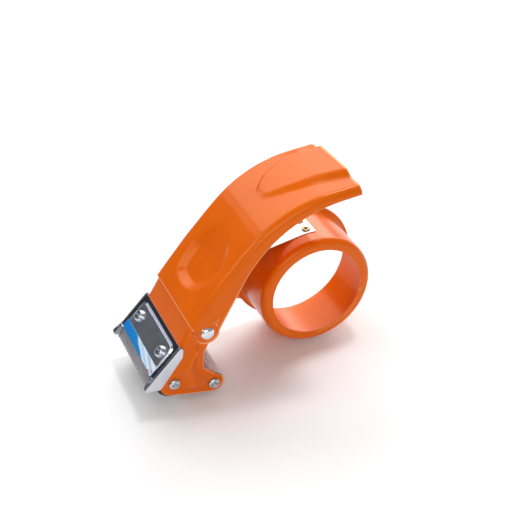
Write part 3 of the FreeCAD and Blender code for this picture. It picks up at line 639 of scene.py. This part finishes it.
# The printed film, in metres: half its length, its middle, how its bands lean, and the two red marks.
FILM_HALF, FILM_MIDDLE_X, FILM_LEAN, FILM_SWAY = 0.0265, -0.0745, -4.0, 0.0035
MARKS_FROM, MARKS_TO, MARKS_EDGE_X = -0.0250, -0.0195, -0.0738
MARK_SCALE, MARK_REACH = 520, 0.38
FILM_BANDS = [(0.02, (0.75, 0.80, 0.86)), (0.12, (0.30, 0.52, 0.75)), (0.22, (0.78, 0.86, 0.93)),
              (0.34, (0.42, 0.62, 0.82)), (0.47, (0.70, 0.82, 0.92)), (0.54, (0.012, 0.24, 0.62)),
              (0.98, (0.006, 0.20, 0.58))]


def film_bands(tree):
    """A blue wedge at one end and pale sweeps at the other."""
    x, y, _ = object_axes(tree)
    wave = object_pattern(tree, "ShaderNodeTexWave",
                          {"Scale": 26, "Distortion": 5, "Detail": 2, "Detail Scale": 1.5})["Fac"]
    along = node_math(tree, "ADD", y, node_math(tree, "MULTIPLY", wave, FILM_SWAY))
    off_middle = node_math(tree, "SUBTRACT", x, FILM_MIDDLE_X)
    leaning = node_math(tree, "ADD", along, node_math(tree, "MULTIPLY", off_middle, FILM_LEAN))
    share = node_math(tree, "DIVIDE", node_math(tree, "ADD", leaning, FILM_HALF), 2 * FILM_HALF)
    return ramp(tree, share, FILM_BANDS)


def film_marks(tree):
    """1 on a few small marks near the pale end."""
    x, y, _ = object_axes(tree)
    spots = object_pattern(tree, "ShaderNodeTexVoronoi", {"Scale": MARK_SCALE})["Distance"]
    mask = node_math(tree, "LESS_THAN", spots, MARK_REACH)
    for kind, socket, limit in (("GREATER_THAN", y, MARKS_FROM), ("LESS_THAN", y, MARKS_TO),
                                ("LESS_THAN", x, MARKS_EDGE_X)):
        mask = node_math(tree, "MULTIPLY", mask, node_math(tree, kind, socket, limit))
    return mask


def film_finish():
    """A printed film: a blue wedge, pale sweeps and two small red marks."""
    material, tree, shader = new_material("printed_film")
    tree.links.new(film_bands(tree), shader.inputs["Base Color"])
    shader.inputs["Roughness"].default_value = 0.12
    overlay(material, (0.62, 0.03, 0.02), film_marks)
    return material


def paint_nodes(material, *names):
    """Gives the CAD nodes that stay in view their finish."""
    for name in names:
        NODES[name].data.materials.clear()
        NODES[name].data.materials.append(material)


# ---------------------------------------------------------------- camera, floor and light

VIEW_PLACE = (-0.2093, -0.5076, 0.4572)
VIEW_RIGHT, VIEW_UP = (0.9146, -0.4040, -0.0168), (0.2457, 0.5223, 0.8166)
VIEW_BACK = (-0.3211, -0.7510, 0.5770)


def place_camera():
    """Looks down on the blade's side, from the front left."""
    data = bpy.data.cameras.new("camera")
    data.lens = 75.86
    data.sensor_width = 36.0
    data.clip_start = 0.01
    data.clip_end = 50.0
    camera = bpy.data.objects.new("camera", data)
    bpy.context.scene.collection.objects.link(camera)
    turn = Matrix((VIEW_RIGHT, VIEW_UP, VIEW_BACK)).transposed().to_4x4()
    camera.matrix_world = Matrix.Translation(VIEW_PLACE) @ turn
    bpy.context.scene.camera = camera


def stage_plane(name, size, place, aim, colour):
    """A flat, dull piece of the studio that faces a point."""
    bpy.ops.object.select_all(action="DESELECT")
    bpy.ops.mesh.primitive_plane_add(size=1, location=place)
    plane = bpy.context.object
    plane.name = name
    plane.scale = (*size, 1)
    plane.rotation_euler = (Vector(aim) - Vector(place)).to_track_quat("Z", "Y").to_euler()
    material, tree, shader = new_material(name)
    shade, _ = drifting_colour(tree, colour, [c * 0.98 for c in colour], 3)
    tree.links.new(shade, shader.inputs["Base Color"])
    shader.inputs["Roughness"].default_value = 0.7
    plane.data.materials.append(material)


def add_light(name, place, aim, size, power):
    """A rectangular lamp, its power in watts."""
    data = bpy.data.lights.new(name, "AREA")
    data.energy = power
    data.shape = "RECTANGLE"
    data.size, data.size_y = size
    lamp = bpy.data.objects.new(name, data)
    lamp.location = place
    lamp.rotation_euler = (Vector(aim) - Vector(place)).to_track_quat("-Z", "Y").to_euler()
    bpy.context.scene.collection.objects.link(lamp)


def light_studio():
    """A wide softbox behind, whose lower edge fades out in three strips, and small lamps round it."""
    world = bpy.data.worlds.new("studio_air")
    bpy.context.scene.world = world
    world.use_nodes = True
    air = world.node_tree.nodes["Background"]
    air.inputs["Color"].default_value = (1.0, 1.0, 1.0, 1)
    air.inputs["Strength"].default_value = 0.30
    stage_plane("pale_floor", (12, 12), (0, 0, 0), (0, 0, 1), (0.94, 0.94, 0.94))
    stage_plane("grey_card", (1.15, 0.42), (-0.47, 0.49, 0.20), (0, 0, 0.20), (0.10, 0.10, 0.11))
    behind = (0.02, 0.0, 0.06)
    add_light("back_softbox", (0.35, 1.38, 1.50), behind, (3.2, 1.1), 29)
    for step, power in enumerate((2.7, 1.6, 0.7)):
        place = (0.35, 1.82 + 0.10 * step, 1.06 - 0.10 * step)
        add_light("softbox_edge", place, behind, (3.2, 0.14), power)
    add_light("right_strip", (0.80, 0.88, 0.50), (0.05, 0.0, 0.07), (0.9, 0.42), 4.5)
    add_light("top_lamp", (0.48, 0.22, 1.40), (0.03, 0.0, 0.08), (0.22, 0.22), 5)
    add_light("front_fill", (-0.5, -1.5, 1.0), (0.0, 0.0, 0.05), (1.4, 0.9), 11)
    add_light("left_key", (-1.15, 0.20, 0.95), (-0.02, 0.0, 0.05), (0.8, 0.5), 4)


# ---------------------------------------------------------------- the whole dispenser

enamel = enamel_finish()
zinc = speckled("zinc_plate", (0.44, 0.49, 0.53), (0.74, 0.77, 0.80), 260, (0.18, 0.34), metal=1.0)
polished = speckled("polished_steel", (0.74, 0.75, 0.78), (0.86, 0.87, 0.89), 120, (0.14, 0.26), metal=1.0)
spring = speckled("spring_steel", (0.80, 0.81, 0.83), (0.90, 0.91, 0.92), 60, (0.28, 0.42), metal=0.85,
                  stretch=(1, 6, 1))
brass = speckled("brass_plate", (0.20, 0.13, 0.06), (0.42, 0.30, 0.15), 300, (0.25, 0.45), metal=1.0)
rubber = speckled("black_rubber", (0.012, 0.012, 0.013), (0.028, 0.028, 0.030), 700, (0.42, 0.62),
                  ripple_by=0.2)
grey_nylon = speckled("grey_nylon", (0.16, 0.16, 0.17), (0.22, 0.22, 0.23), 200, (0.4, 0.5))
white_plastic = speckled("white_plastic", (0.80, 0.80, 0.82), (0.88, 0.88, 0.89), 90, (0.30, 0.42),
                         ripple_by=0.03)
blade_steel = speckled("blade_steel", (0.30, 0.28, 0.32), (0.46, 0.44, 0.48), 90, (0.20, 0.34), metal=1.0,
                       ripple_by=0.05, stretch=(8, 0.6, 8))

make_handle(enamel)
make_head(enamel)
make_cover(chrome_finish())
make_leaf(spring)
paint_nodes(enamel, "tape_hub", "hub_arm")
paint_nodes(polished, "front_ear_rivet", "back_ear_rivet")
paint_nodes(zinc, "press_screw_front", "press_screw_back", "guide_screw_front", "guide_screw_back",
            "cover_screws", "cover_nuts", "press_axle", "guide_axle")
paint_nodes(brass, "leaf_rivets")
paint_nodes(rubber, "press_roller_sleeve")
paint_nodes(grey_nylon, "press_roller_core")
paint_nodes(white_plastic, "guide_roller")
paint_nodes(blade_steel, "cutting_blade")
paint_nodes(film_finish(), "cover_label")

place_camera()
light_studio()
bpy.context.scene.view_settings.view_transform = "Standard"
